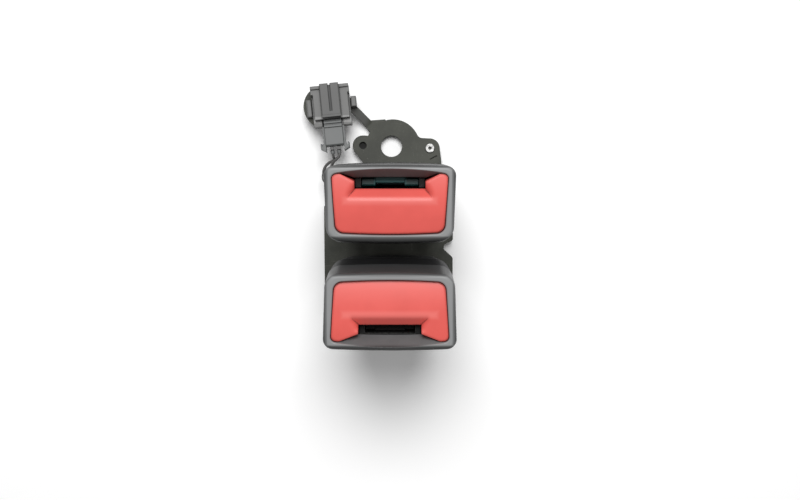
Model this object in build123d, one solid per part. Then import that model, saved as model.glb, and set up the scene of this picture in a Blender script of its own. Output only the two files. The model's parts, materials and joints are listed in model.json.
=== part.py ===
from build123d import *
from math import cos, radians, sin, tan
import os

# Twin seat belt buckle. Two press-button heads stand on one stamped anchor plate, turned half a turn from
# each other. The origin is the centre of the anchor hole on the plate's underside. +Z runs up the heads,
# +Y from the heads towards the anchor hole. Lengths are in millimetres.

# Anchor plate
PLATE_T = 3.5
HOLE_D = 11.5
ANCHOR_TILT = 8.0  # the anchor end is bent down, so that a bolt's tool clears the heads
BEND_Y = -8.5
EYE_X, EYE_R = 0.8, 14.5
BOSS_X, BOSS_Y, BOSS_LOBE_R = -15.4, 0.3, 5.5
BOSS_R, BOSS_H, BOSS_RECESS_R = 1.95, 1.6, 2.05
PIN_X, PIN_Y, PIN_LOBE_R = 20.7, -1.1, 5.3
NECK_LEFT, NECK_RIGHT = -15.4, 26.9
WEB_LEFT, WEB_RIGHT, WEB_END, WEB_SHOULDER = -36.5, 33.3, -97.0, -32.0
WEB_CORNER_R = 7.0
RELIEF_Y, RELIEF_DEPTH, RELIEF_H, RELIEF_R = -55.5, 4.9, 11.0, 1.6
BEND_R, LOBE_BLEND_R = 2.0, 3.0
SLIT_X, SLIT_Y, SLIT_L, SLIT_W, SLIT_DEPTH, SLIT_ANGLE = 22.6, -6.2, 4.2, 0.7, 1.2, 29.0

# Arm and paddle that carry the switch connector, in the plane of the anchor end
ARM_W, ARM_RUN, ARM_RISE, ARM_ANGLE = 4.1, 10.5, 8.0, 138.0
ARM_X, ARM_Y, ARM_HEEL = -12.6, 12.4, (-9.5, 5.0)
PADDLE_X, PADDLE_Y, PADDLE_R = -35.2, 20.2, 11.5
PEG_HOLE_R = 2.6

# Locating pin
PIN_R, PIN_SHANK_R, PIN_HEAD_R, PIN_HEAD_H, PIN_REACH, PIN_BORE_R = 2.4, 1.8, 2.6, 0.8, 2.0, 0.9

# Heads: place of each rim's centre
NEAR_Y, FACE_PITCH = -22.8, 48.8
COVER_FOOT_Z, STAGGER = 25.5, 13.5
NEAR_SLOT_W, FAR_SLOT_W = 32.0, 28.0
SLOT_V_LOW, SLOT_V_HIGH = 5.9, 10.7  # slot, measured from the rim's centre

# Button
BUTTON_HALF_W, BUTTON_FOOT_HALF_W = 26.6, 24.9
BUTTON_TOP_V, BUTTON_FOOT_V, BUTTON_BELLY = 12.9, -13.9, 0.9
ARM_FLAT_W, ARM_TIP_V, ARM_TIP_R, BUTTON_FOOT_R = 3.9, 9.5, 2.2, 4.0
BUTTON_GAP = 0.3
BUTTON_CREST_W, BUTTON_FOOT_W, BUTTON_TIP_W = -1.0, -3.0, -1.5
SCOOP_W, SCOOP_REACH, SCOOP_FLARE, SCOOP_CREST_R = -4.5, 6.5, 6.0, 3.0
SKIRT_H, SKIRT_T, SKIRT_STEP, CHANNEL_ROOM = 13.5, 1.9, 1.0, 0.5
ROOF_T = 2.4

# Cover: half width on the slot side and on the button side, then the two edges, at four depths
RIM_SECTION = (BUTTON_HALF_W + 3.8, BUTTON_FOOT_HALF_W + 4.3, 16.4, -17.4)
SEAM_SECTION = (BUTTON_HALF_W + 3.3, BUTTON_FOOT_HALF_W + 3.9, 16.2, -19.6)
SHOULDER_SECTION = (BUTTON_HALF_W + 2.8, BUTTON_FOOT_HALF_W + 2.7, 16.0, -20.9)
FOOT_SECTION = (BUTTON_HALF_W - 0.2, BUTTON_FOOT_HALF_W + 0.7, 14.6, -16.8)
BEZEL_H, SHOULDER_H, COVER_H = 14.0, 26.0, 70.0
EDGE_CROWN = 0.85
WALL, RIM_R, RIM_INNER_R, SLOT_CORNER_R, BUTTON_CORNER_R, FOOT_R = 1.8, 2.0, 0.7, 4.6, 6.8, 3.0
COLLAR_H = 8.0
LIP_H, LIP_T, LIP_GAP = 2.6, 0.6, 0.15
FLOOR_T = 2.0
NEAR_FACE_Z = COVER_FOOT_Z + COVER_H
FUNNEL_HALF_W, FUNNEL_V, FUNNEL_CROWN_V, FUNNEL_H = 24.5, 13.6, 15.4, 9.0

# Steel frame that guides the tongue
FRAME_T, FRAME_V, FRAME_TOP, FRAME_FOOT_GAP = 2.5, 10.9, -10.5, 3.0
FRAME_FOOT = FRAME_FOOT_GAP - COVER_H
SIDE_TOP, SIDE_V, GUIDE_V, SIDE_FOOT = -19.2, -2.6, 6.2, -48.0
SLOT_MARGIN = 2.5  # slot edge to channel wall
FRAME_BEND_R = 1.0

# Latch
HINGE_V, HINGE_W, HINGE_R, HINGE_GAP = 1.8, -42.0, 1.5, 0.06
EYE_WALL, LATCH_T, LATCH_TOP, NOSE_T, NOSE_W, NOSE_TIP_V = 1.0, 2.4, -19.0, 2.5, 11.0, 12.2
LATCH_SIDE_GAP, LATCH_SWING = 0.6, 19.0
RELEASE_ARM_L, RELEASE_ARM_T, RELEASE_ARM_W = 8.5, 2.2, 9.0
PIN_END_R, PIN_END_T = 2.1, 0.7

# Release bar and the button's legs
BAR_V, BAR_T, BAR_TOP, BAR_H = -6.3, 2.5, -31.0, 4.0
LEG_T, LEG_GAP, LEG_WALL, LEG_FOOT = 2.4, 0.9, 1.5, -37.0

# Ejector
EJECTOR_TOP, EJECTOR_BAR_TOP, EJECTOR_BAR_H, EJECTOR_T = -14.5, -27.0, 4.0, 4.1
EJECTOR_GAP, FORK_HALF_W, EJECTOR_LINK_T, EJECTOR_LINK_H = 0.3, 6.9, 2.4, 3.0
SPIGOT_R, SPIGOT_H = 1.3, 3.0

# Springs
COIL_R, COIL_WIRE_R, COIL_PITCH = 1.9, 0.4, 5.4
BUTTON_COIL_U, BUTTON_COIL_V, LEDGE_TOP, LEDGE_T = 9.5, -9.9, -27.5, 2.0

# Lug brackets, and the spring seat above them
LUG_T, LUG_W, LUG_FOOT_V, LUG_BEND_R = 3.0, 19.0, -12.0, 2.0
LUG_RIVET_U, LUG_RIVET_V, FRAME_RIVET_U, FRAME_RIVET_RISE, LUG_RISE = 6.0, -5.0, 6.0, 5.0, 11.0
FRAME_RIVET_W, LUG_TOP = FRAME_FOOT + FRAME_RIVET_RISE, FRAME_FOOT + LUG_RISE
SEAT_T, SEAT_GAP = 2.0, 0.5
SEAT_TOP = LUG_TOP + SEAT_GAP + SEAT_T
RIVET_R, RIVET_HEAD_R, RIVET_HEAD_H, RIVET_TAIL_H, RIVET_GAP = 2.0, 3.6, 1.4, 1.1, 0.05

# Belt switch on the near frame
SWITCH_T, SWITCH_D, SWITCH_H, SWITCH_TOP, SWITCH_V = 5.0, 9.0, 15.0, -45.5, -1.0

# Connector, in the plane of the anchor end, turned on its paddle
CONNECTOR_TURN = 5.8
CONNECTOR_X, CONNECTOR_Y = -31.6, 20.9
CLIP_T, CLIP_W, CLIP_L, CLIP_GAP, CLIP_TAB_W = 1.6, 17.0, 15.0, 0.3, 3.0
CLIP_TAB_L, CLIP_TAB_H, CLIP_REST_Y, CLIP_REST_H = 5.2, 7.0, (-5.6, 3.2), 4.0
SOCKET_W, SOCKET_L, SOCKET_H, SOCKET_CORE_W = 20.0, 17.4, 9.8, 10.4
CORE_RISE, LEDGE_L, LEDGE_RISE, EAR_W, EAR_L, EAR_H = 1.6, 1.6, 1.0, 4.4, 3.4, 6.5
PLUG_W, PLUG_H, PLUG_GAP, PLUG_NOSE_L, PLUG_L, PLUG_FLOOR = 9.3, 6.4, 0.2, 13.0, 13.9, 1.9
TONGUE_W, TONGUE_L, TONGUE_T, TONGUE_SLIT_W, TONGUE_SLIT_L = 9.8, 17.6, 1.5, 1.0, 14.5
TONGUE_RIB_L, TONGUE_RIB_H = 1.2, 2.0
HOOK_T, HOOK_REACH, HOOK_L = 1.1, 1.0, 11.5
TERMINAL_PITCH, TERMINAL_W, TERMINAL_L, TERMINAL_DEPTH = 3.4, 1.9, 2.4, 4.0

# Wires: middle line of the twisted pair, chosen by hand, and the twist about it
WIRE_R, TWIST_R, TWIST_STEP, WIRE_LEAD = 0.75, 1.6, 90.0, 3.0
WIRE_RUN = [
    (-29.0, -3.0, 19.4), (-30.2, -7.0, 17.6), (-33.2, -9.8, 15.0), (-36.2, -12.8, 13.2), (-35.2, -16.8, 12.8),
    (-30.8, -20.2, 14.0), (-25.0, -21.4, 16.4),
]


def span_box(x, y, z):
    """Box between a low and a high value on each axis."""
    return Pos(x[0], y[0], z[0]) * Box(x[1] - x[0], y[1] - y[0], z[1] - z[0], align=(Align.MIN,) * 3)


def polygon(points):
    return make_face(Polyline(*points, close=True))


def across(profile, half_width):
    """Solid whose profile, drawn as (v, w), runs across the head by half_width to each side."""
    return extrude(Plane.YZ * profile, amount=half_width, both=True)


def rod(start, axis, radius, length):
    """Round bar from a start point along an axis."""
    return extrude(Plane(origin=start, z_dir=axis) * Circle(radius), amount=length)


def folded(points, thickness, bend_r):
    """Edge-on outline of a folded sheet. The thickness lies to the left of the line of points."""
    run = [Vector(*p) for p in points]
    normals = [(b - a).normalized().rotate(Axis.Z, 90) for a, b in zip(run, run[1:])]
    before, after = normals[:1] + normals, normals + normals[-1:]
    far = [p + (m + n) * (thickness / (1 + m.dot(n))) for p, m, n in zip(run, before, after)]
    face = polygon([(p.X, p.Y) for p in run + far[::-1]])
    for i in range(1, len(run) - 1):
        turns_left = before[i].cross(after[i]).Z > 0
        inner, outer = (far[i], run[i]) if turns_left else (run[i], far[i])
        face = fillet(face.vertices().sort_by_distance(inner)[0], bend_r)
        face = fillet(face.vertices().sort_by_distance(outer)[0], bend_r + thickness)
    return face


def coil(foot, height):
    """Helical spring of square wire on a foot point, wound so that its wire stays between its two ends."""
    path = Helix(COIL_PITCH, height - 2 * COIL_WIRE_R, COIL_R)
    wire = Plane(origin=path @ 0, z_dir=path % 0) * RegularPolygon(COIL_WIRE_R, 4)
    return Pos(foot[0], foot[1], foot[2] + COIL_WIRE_R) * sweep(wire, path=path, is_frenet=True)


# Frames of reference

ANCHOR = Location((0, 0, 0), (-ANCHOR_TILT, 0, 0))
WEB_Z = -BEND_Y * tan(radians(ANCHOR_TILT))
WEB_TOP = WEB_Z + PLATE_T
ARM_Z = ARM_RISE + PLATE_T
CONNECTOR = ANCHOR * Location((CONNECTOR_X, CONNECTOR_Y, ARM_Z), (0, 0, CONNECTOR_TURN))


class Head:
    """Place and slot width of one head. Its own axes are u across, v towards the slot and w up."""

    def __init__(self, name, y, face_z, turn, slot_w):
        self.name, self.face_z, self.slot_w = name, face_z, slot_w
        self.place = Location((0, y, face_z), (0, 0, turn))
        self.inner = slot_w / 2 - SLOT_MARGIN
        self.outer = self.inner + FRAME_T
        self.plate_w = WEB_TOP - face_z


HEADS = [
    Head("near", NEAR_Y, NEAR_FACE_Z, 0, NEAR_SLOT_W),
    Head("far", NEAR_Y - FACE_PITCH, NEAR_FACE_Z + STAGGER, 180, FAR_SLOT_W),
]


# Cover

COVER_SECTIONS = [
    (0.0, RIM_SECTION), (BEZEL_H, SEAM_SECTION), (SHOULDER_H, SHOULDER_SECTION), (COVER_H, FOOT_SECTION),
]


def cover_outline(w, inset):
    """Section of the cover at height w, moved in from the outside by inset."""
    depth = -w
    for (start, first), (end, last) in zip(COVER_SECTIONS, COVER_SECTIONS[1:]):
        if depth <= end:
            break
    share = (depth - start) / (end - start)
    slot_half, button_half, slot_v, button_v = (a + (b - a) * share for a, b in zip(first, last))
    slot_half, button_half = slot_half - inset, button_half - inset
    slot_v, button_v = slot_v - inset, button_v + inset
    slot_edge = ThreePointArc((slot_half, slot_v), (0, slot_v + EDGE_CROWN), (-slot_half, slot_v))
    button_edge = ThreePointArc((-button_half, button_v), (0, button_v - EDGE_CROWN), (button_half, button_v))
    left, right = Line(slot_edge @ 1, button_edge @ 0), Line(button_edge @ 1, slot_edge @ 0)
    shape = make_face([slot_edge, left, button_edge, right])
    for side, corner_r in ((-1, SLOT_CORNER_R), (0, BUTTON_CORNER_R)):
        shape = fillet(shape.vertices().group_by(Axis.Y)[side], corner_r - min(inset, WALL))
    return Pos(0, 0, w) * shape


def cover_solid(top, foot, inset):
    """Solid between two heights, with an outline at each depth where the cover's taper changes."""
    heights = [-depth for depth, _ in COVER_SECTIONS if foot < -depth < top]
    return loft([cover_outline(w, inset) for w in (foot, *heights[::-1], top)], ruled=True)


def button_corner(head):
    """Inner end of the slanted edge on each button arm."""
    return head.slot_w / 2 + BUTTON_GAP, ARM_TIP_V


def press_opening(head):
    """Outline of everything that the bezel leaves open: the button and the tongue slot."""
    slant_u = BUTTON_HALF_W - ARM_FLAT_W
    right = [(BUTTON_HALF_W, BUTTON_TOP_V), (slant_u, BUTTON_TOP_V), (head.slot_w / 2, SLOT_V_HIGH - BUTTON_GAP)]
    left = [(-u, v) for u, v in reversed(right)]
    top = Polyline((BUTTON_FOOT_HALF_W, BUTTON_FOOT_V), *right, *left, (-BUTTON_FOOT_HALF_W, BUTTON_FOOT_V))
    return make_face([*top.edges(), button_belly()])


def button_belly():
    low = BUTTON_FOOT_V - BUTTON_BELLY
    return ThreePointArc((-BUTTON_FOOT_HALF_W, BUTTON_FOOT_V), (0, low), (BUTTON_FOOT_HALF_W, BUTTON_FOOT_V))


def bezel(head):
    """Moulded rim with a deep collar round the button and a sloped guide into the slot."""
    body = cover_solid(0, -BEZEL_H, 0)
    body = fillet(body.edges().group_by(Axis.Z)[-1], RIM_R)
    body -= cover_solid(-COLLAR_H, -BEZEL_H, WALL)
    opening = offset(press_opening(head), amount=BUTTON_GAP, kind=Kind.INTERSECTION)
    opening = fillet(opening.vertices().group_by(Axis.Y)[0], BUTTON_FOOT_R + BUTTON_GAP)
    tips = opening.vertices().filter_by(lambda c: c.Y > ARM_TIP_V and abs(c.X) > BUTTON_HALF_W - ARM_TIP_R)
    opening = fillet(tips, ARM_TIP_R + BUTTON_GAP)
    body -= extrude(Pos(0, 0, -COVER_H) * opening, amount=2 * COVER_H)
    rim = body.faces().filter_by(Axis.Z).sort_by(Axis.Z)[-1]
    body = fillet(rim.inner_wires()[0].edges(), RIM_INNER_R)
    return body - funnel(head)


def funnel(head):
    """Space of the guide: wide and arched at the rim, as wide as the slot at its foot."""
    sections = []
    slot_half = head.slot_w / 2
    for half_w, edge_v, crown_v, w in (
        (slot_half, SLOT_V_HIGH - 0.1, SLOT_V_HIGH, -FUNNEL_H),
        (FUNNEL_HALF_W, FUNNEL_V, FUNNEL_CROWN_V, 0.0),
    ):
        sides = Polyline((half_w, edge_v), (half_w, SLOT_V_LOW), (-half_w, SLOT_V_LOW), (-half_w, edge_v))
        crown = ThreePointArc((-half_w, edge_v), (0, crown_v), (half_w, edge_v))
        sections.append(Pos(0, 0, w) * make_face([*sides.edges(), crown]))
    return loft(sections, ruled=True)


def cover(head):
    """Both halves of the cover in one, with the lip that centres the bezel and the openings in the floor."""
    body = cover_solid(-BEZEL_H, -COVER_H, 0)
    body = fillet(body.edges().group_by(Axis.Z)[0], FOOT_R)
    body -= cover_solid(-BEZEL_H, FLOOR_T - COVER_H, WALL)
    inset = WALL + LIP_GAP
    top, foot = LIP_H - BEZEL_H, -BEZEL_H - LIP_H
    lip = cover_solid(top, -BEZEL_H, inset) - cover_solid(top, -BEZEL_H, inset + LIP_T)
    ring = cover_solid(-BEZEL_H, foot, WALL / 2) - cover_solid(-BEZEL_H, foot, inset + LIP_T)
    body += ring + lip
    lug_v = FRAME_V - LUG_T
    slit = (-LUG_W / 2 - BUTTON_GAP, LUG_W / 2 + BUTTON_GAP)
    body -= span_box(slit, (lug_v - BUTTON_GAP, FRAME_V + BUTTON_GAP), (-COVER_H - 1, FLOOR_T - COVER_H + 1))
    return body


def half_space(side):
    """Box over the slot's side (1) or the button's side (-1) of the cover."""
    reach = 2 * RIM_SECTION[0]
    return span_box((-reach, reach), sorted((0, side * reach)), (-COVER_H - 1, 0))


def slot_shell(head):
    half = cover(head) & half_space(1)
    if head.name == "near":
        for u, v in wire_ends():
            half -= rod((u, v, -COVER_H - 1), (0, 0, 1), WIRE_R + BUTTON_GAP, 2 * FLOOR_T)
    return half


def button_shell(head):
    half = cover(head) & half_space(-1)
    wall_v = cover_outline(LEDGE_TOP, WALL / 2).bounding_box().min.Y
    reach = BUTTON_COIL_V + COIL_R + COIL_WIRE_R
    half_w = BUTTON_COIL_U + COIL_R + 2 * COIL_WIRE_R
    half += span_box((-half_w, half_w), (wall_v, reach), (LEDGE_TOP - LEDGE_T, LEDGE_TOP))
    low = LEDGE_TOP - LEDGE_T
    rib = polygon([(wall_v, low), (reach, low), (wall_v, low - 3 * LEDGE_T)])
    for u in (-BUTTON_COIL_U, 0, BUTTON_COIL_U):
        half += Pos(u, 0, 0) * across(rib, LEDGE_T / 3)
    return half


# Button

def button_outline(head):
    tip_u, tip_v = button_corner(head)
    slant_u = BUTTON_HALF_W - ARM_FLAT_W
    right = [(BUTTON_HALF_W, BUTTON_TOP_V), (slant_u, BUTTON_TOP_V), (tip_u, tip_v), (tip_u, SLOT_V_LOW)]
    left = [(-u, v) for u, v in reversed(right)]
    top = Polyline((BUTTON_FOOT_HALF_W, BUTTON_FOOT_V), *right, *left, (-BUTTON_FOOT_HALF_W, BUTTON_FOOT_V))
    shape = make_face([*top.edges(), button_belly()])
    shape = fillet(shape.vertices().filter_by(lambda c: abs(c.X) > slant_u + 0.1 and c.Y > 0), ARM_TIP_R)
    shape = fillet(shape.vertices().filter_by(lambda c: abs(abs(c.X) - slant_u) < 0.1), ARM_TIP_R / 2)
    return fillet(shape.vertices().filter_by(lambda c: c.Y < BUTTON_FOOT_V + 0.1), BUTTON_FOOT_R)


def button_face():
    """Side view of the button's crown, from the foot edge over the crest to the arm tips."""
    foot_v = BUTTON_FOOT_V - 2 * BUTTON_BELLY
    foot, crest, tip = (foot_v, BUTTON_FOOT_W), (-1.0, BUTTON_CREST_W), (BUTTON_TOP_V + 1, BUTTON_TIP_W)
    back = Polyline(tip, (tip[0], -SKIRT_H), (foot_v, -SKIRT_H), foot)
    return make_face([*back.edges(), ThreePointArc(foot, crest, tip)])


def scoop(head):
    """Space above the slope that leads the tongue from the button's crest down to the slot."""
    half, past, rise = head.slot_w / 2, SLOT_V_LOW + 1, -BUTTON_CREST_W
    low = polygon([(-half, past), (half, past), (half, SLOT_V_LOW), (-half, SLOT_V_LOW)])
    crest_v, wide = SLOT_V_LOW - SCOOP_REACH, half + SCOOP_FLARE
    high = polygon([(-half, past), (half, past), (wide, crest_v), (-wide, crest_v)])
    return loft([Pos(0, 0, SCOOP_W) * low, Pos(0, 0, rise) * high], ruled=True)


def button_crown(head):
    """Solid button with its soft-edged slope, before it is hollowed."""
    body = extrude(Pos(0, 0, -SKIRT_H) * button_outline(head), amount=2 * SKIRT_H)
    body &= across(button_face(), BUTTON_HALF_W + 1)
    body -= scoop(head)
    edges = body.edges().filter_by(lambda e: BUTTON_FOOT_V / 2 < e.center().Y < SLOT_V_LOW)
    wide = head.slot_w / 2 + SCOOP_FLARE
    crest = edges.filter_by(lambda e: e.center().Z > SCOOP_W / 2 and abs(e.center().X) < wide)
    return fillet(crest, SCOOP_CREST_R)


def press_button(head):
    body = button_crown(head)
    rear_roof = BUTTON_FOOT_W - ROOF_T
    pocket_v = (BUTTON_FOOT_V + SKIRT_T - BUTTON_BELLY / 2, SLOT_V_LOW - SCOOP_REACH)
    pocket_half = BUTTON_FOOT_HALF_W - 1.2 * SKIRT_T
    body -= span_box((-pocket_half, pocket_half), pocket_v, (-SKIRT_H, rear_roof))
    front_half = head.slot_w / 2 - SKIRT_STEP
    front_roof = SCOOP_W - ROOF_T
    body -= span_box((-front_half, front_half), (pocket_v[0], SLOT_V_LOW - SKIRT_T), (-SKIRT_H, front_roof))
    room_half = head.outer + CHANNEL_ROOM
    room_top = front_roof - SKIRT_STEP
    body -= span_box((-room_half, room_half), (pocket_v[1], BUTTON_TOP_V + 1), (-SKIRT_H, room_top))
    for side in (-1, 1):
        u = sorted((side * (head.outer + LEG_GAP), side * (head.outer + LEG_GAP + LEG_T)))
        body += span_box(u, (BAR_V - LEG_WALL, BAR_V + BAR_T + LEG_WALL), (LEG_FOOT, rear_roof + 1))
    return body - bar_space(head, RIVET_GAP)


def bar_space(head, gap):
    reach = head.outer + LEG_GAP + LEG_T + LEG_WALL / 2
    v, w = (BAR_V - gap, BAR_V + BAR_T + gap), (BAR_TOP - BAR_H - gap, BAR_TOP + gap)
    return span_box((-reach, reach), v, w)


def release_bar(head):
    bar = bar_space(head, 0)
    return fillet(bar.edges().filter_by(Axis.X), BAR_T / 5)


def button_springs(head):
    height = BUTTON_FOOT_W - ROOF_T - LEDGE_TOP
    return [coil((u, BUTTON_COIL_V, LEDGE_TOP), height) for u in (-BUTTON_COIL_U, BUTTON_COIL_U)]


# Tongue frame, latch and ejector

def frame(head):
    """U channel with a nose window, lower walls under the button and a spring seat bent out of its web."""
    base = span_box((-head.outer, head.outer), (FRAME_V, FRAME_V + FRAME_T), (FRAME_FOOT, FRAME_TOP))
    wall = polygon([
        (FRAME_V + FRAME_T, FRAME_TOP), (GUIDE_V, FRAME_TOP), (GUIDE_V, SIDE_TOP), (SIDE_V, SIDE_TOP),
        (SIDE_V, SIDE_FOOT), (GUIDE_V, SIDE_FOOT - 5), (FRAME_V + FRAME_T, SIDE_FOOT - 5),
    ])
    body = base + (across(wall, head.outer) - across(wall, head.inner))
    bends = body.edges().filter_by(Axis.Z).group_by(Axis.Y)[-1]
    body = fillet(bends, FRAME_BEND_R)
    nose_low, nose_high = LATCH_TOP - NOSE_T - 1.5, LATCH_TOP + 3
    nose_half = NOSE_W / 2 + 1
    body -= span_box((-nose_half, nose_half), (FRAME_V - 1, FRAME_V + FRAME_T + 1), (nose_low, nose_high))
    body -= rod((-head.outer - 1, HINGE_V, HINGE_W), (1, 0, 0), HINGE_R + RIVET_GAP, 2 * head.outer + 2)
    seat_v = FRAME_V - EJECTOR_GAP - 2 * (COIL_R + COIL_WIRE_R)
    body += span_box((-COIL_R - 1, COIL_R + 1), (seat_v, FRAME_V + 1), (SEAT_TOP - SEAT_T, SEAT_TOP))
    for u in (-FRAME_RIVET_U, FRAME_RIVET_U):
        body -= rod((u, FRAME_V - 1, FRAME_RIVET_W), (0, 1, 0), RIVET_R + RIVET_GAP, FRAME_T + 2)
    return body


def latch_plate(head):
    """Latch as it stands with no tongue in the buckle, swung clear of the channel."""
    half = head.inner - LATCH_SIDE_GAP
    eye_r = HINGE_R + EYE_WALL
    face_v = HINGE_V + LATCH_T / 2
    plate = span_box((-half, half), (face_v - LATCH_T, face_v), (HINGE_W, LATCH_TOP))
    nose = polygon([
        (face_v - 1, LATCH_TOP), (NOSE_TIP_V - 1, LATCH_TOP), (NOSE_TIP_V, LATCH_TOP - 1),
        (NOSE_TIP_V, LATCH_TOP - NOSE_T), (face_v - 1, LATCH_TOP - NOSE_T),
    ])
    arm_v = HINGE_V - RELEASE_ARM_L
    arm_low = HINGE_W - RELEASE_ARM_T / 2
    arm = span_box((-RELEASE_ARM_W, RELEASE_ARM_W), (arm_v, HINGE_V), (arm_low, arm_low + RELEASE_ARM_T))
    body = plate + across(nose, NOSE_W / 2) + arm + rod((-half, HINGE_V, HINGE_W), (1, 0, 0), eye_r, 2 * half)
    body -= rod((-half - 1, HINGE_V, HINGE_W), (1, 0, 0), HINGE_R + HINGE_GAP, 2 * half + 2)
    return body.rotate(Axis((0, HINGE_V, HINGE_W), (1, 0, 0)), LATCH_SWING)


def latch_pin(head):
    reach = head.outer + RIVET_GAP
    pin = rod((-reach - PIN_END_T, HINGE_V, HINGE_W), (1, 0, 0), HINGE_R, 2 * (reach + PIN_END_T))
    for side in (-1, 1):
        pin += rod((side * reach, HINGE_V, HINGE_W), (side, 0, 0), PIN_END_R, PIN_END_T)
    return pin


def ejector(head):
    """Window frame whose top lifts the tongue, with a spigot that centres its spring."""
    half, back = head.inner - EJECTOR_GAP, FRAME_V - EJECTOR_GAP
    front = back - EJECTOR_T
    prongs = span_box((-half, half), (front, back), (EJECTOR_BAR_TOP - EJECTOR_BAR_H, EJECTOR_TOP))
    prongs -= span_box((-FORK_HALF_W, FORK_HALF_W), (front - 1, back + 1), (EJECTOR_BAR_TOP, EJECTOR_TOP + 1))
    tops = prongs.edges().filter_by(Axis.X).group_by(Axis.Z)[-1]
    body = chamfer(tops, EJECTOR_T / 5)
    link_top = EJECTOR_TOP - EJECTOR_T / 5
    link_v, link_w = (back - EJECTOR_LINK_T, back), (link_top - EJECTOR_LINK_H, link_top)
    body += span_box((1 - half, half - 1), link_v, link_w)
    coil_v = ejector_coil_v()
    foot = EJECTOR_BAR_TOP - EJECTOR_BAR_H
    return body + rod((0, coil_v, foot + 1), (0, 0, -1), SPIGOT_R, SPIGOT_H + 1)


def ejector_coil_v():
    return FRAME_V - EJECTOR_GAP - COIL_R - COIL_WIRE_R


def ejector_spring(head):
    height = EJECTOR_BAR_TOP - EJECTOR_BAR_H - SEAT_TOP
    return coil((0, ejector_coil_v(), SEAT_TOP), height)


# Lug brackets, rivets and locating pin

def lug_bracket(head):
    """Angle that stands on the plate and reaches up inside the frame."""
    run = [(LUG_FOOT_V, head.plate_w), (FRAME_V, head.plate_w), (FRAME_V, LUG_TOP)]
    profile = folded(run, LUG_T, LUG_BEND_R)
    body = across(profile, LUG_W / 2)
    corners = body.edges().filter_by(Axis.Y).group_by(Axis.Z)[-1]
    body = fillet(corners, 2 * LUG_BEND_R)
    for u in (-LUG_RIVET_U, LUG_RIVET_U):
        body -= rod((u, LUG_RIVET_V, head.plate_w - 1), (0, 0, 1), RIVET_R + RIVET_GAP, LUG_T + 2)
    for u in (-FRAME_RIVET_U, FRAME_RIVET_U):
        body -= rod((u, FRAME_V + 1, FRAME_RIVET_W), (0, -1, 0), RIVET_R + RIVET_GAP, LUG_T + 2)
    return body


def rivet(start, axis, grip):
    """Rivet whose domed head sits at the start point, with its tail set flat beyond the grip."""
    body = rod((0, 0, 0), (0, 0, 1), RIVET_R, grip + RIVET_TAIL_H)
    body += Pos(0, 0, grip) * rod((0, 0, 0), (0, 0, 1), RIVET_HEAD_R - 0.6, RIVET_TAIL_H)
    head = rod((0, 0, 0), (0, 0, -1), RIVET_HEAD_R, RIVET_HEAD_H)
    head = chamfer(head.edges().group_by(Axis.Z)[0], RIVET_HEAD_H / 2)
    return Plane(origin=start, z_dir=axis).location * (body + head)


def frame_rivets(head):
    """Countersunk at the frame's outer face, so that the cover clears them."""
    pair = []
    for u in (-FRAME_RIVET_U, FRAME_RIVET_U):
        start = (u, FRAME_V - LUG_T, FRAME_RIVET_W)
        shank = rod(start, (0, 1, 0), RIVET_R, LUG_T + FRAME_T)
        head_disc = rod(start, (0, -1, 0), RIVET_HEAD_R, RIVET_HEAD_H)
        pair.append(shank + chamfer(head_disc.edges().group_by(Axis.Y)[0], RIVET_HEAD_H / 2))
    return pair


def lug_rivets():
    rivets = []
    for head in HEADS:
        for u in (-LUG_RIVET_U, LUG_RIVET_U):
            start = (u, LUG_RIVET_V, head.plate_w + LUG_T)
            rivets.append(head.place * rivet(start, (0, 0, -1), LUG_T + PLATE_T))
    return rivets


def locating_pin():
    """Pin that stands out under the plate, with a thinner shank staked over on top."""
    body = rod((PIN_X, PIN_Y, -PIN_REACH), (0, 0, 1), PIN_R, PIN_REACH)
    body = chamfer(body.edges().group_by(Axis.Z)[0], PIN_R / 6)
    body += rod((PIN_X, PIN_Y, 0), (0, 0, 1), PIN_SHANK_R, PLATE_T)
    head = rod((PIN_X, PIN_Y, PLATE_T), (0, 0, 1), PIN_HEAD_R, PIN_HEAD_H)
    head = fillet(head.edges().group_by(Axis.Z)[-1], PIN_HEAD_H / 2)
    bore = rod((PIN_X, PIN_Y, PLATE_T - PIN_HEAD_H), (0, 0, 1), PIN_BORE_R, 3 * PIN_HEAD_H)
    return ANCHOR * (body + head - bore)


# Plate

def anchor_outline():
    """Eye round the bolt hole, a lobe each side of it, the neck and the root of the arm."""
    neck_y = BEND_Y / cos(radians(ANCHOR_TILT)) - PLATE_T
    body = Pos(EYE_X, 0) * Circle(EYE_R) + Pos(BOSS_X, BOSS_Y) * Circle(BOSS_LOBE_R)
    body += Pos(PIN_X, PIN_Y) * Circle(PIN_LOBE_R)
    body += polygon([
        (BOSS_X, BOSS_Y + BOSS_LOBE_R), (BOSS_X - 0.78 * BOSS_LOBE_R, BOSS_Y - 0.62 * BOSS_LOBE_R),
        (NECK_LEFT, -8.3), (NECK_LEFT, neck_y), (NECK_RIGHT, neck_y), (NECK_RIGHT, -8.3),
        (PIN_X + PIN_LOBE_R, PIN_Y), (PIN_X, PIN_Y + PIN_LOBE_R),
    ])
    side = Vector(0, ARM_W / 2).rotate(Axis.Z, ARM_ANGLE)
    root = Vector(ARM_X, ARM_Y)
    upper, lower = root - side, root + side
    body += polygon([(upper.X, upper.Y), (lower.X, lower.Y), ARM_HEEL, (EYE_X, 0), (EYE_X - ARM_W, EYE_R)])
    saddle = body.vertices().filter_by(lambda c: EYE_X < c.X < PIN_X and c.Y > PIN_Y)
    return fillet(saddle, LOBE_BLEND_R)


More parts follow.
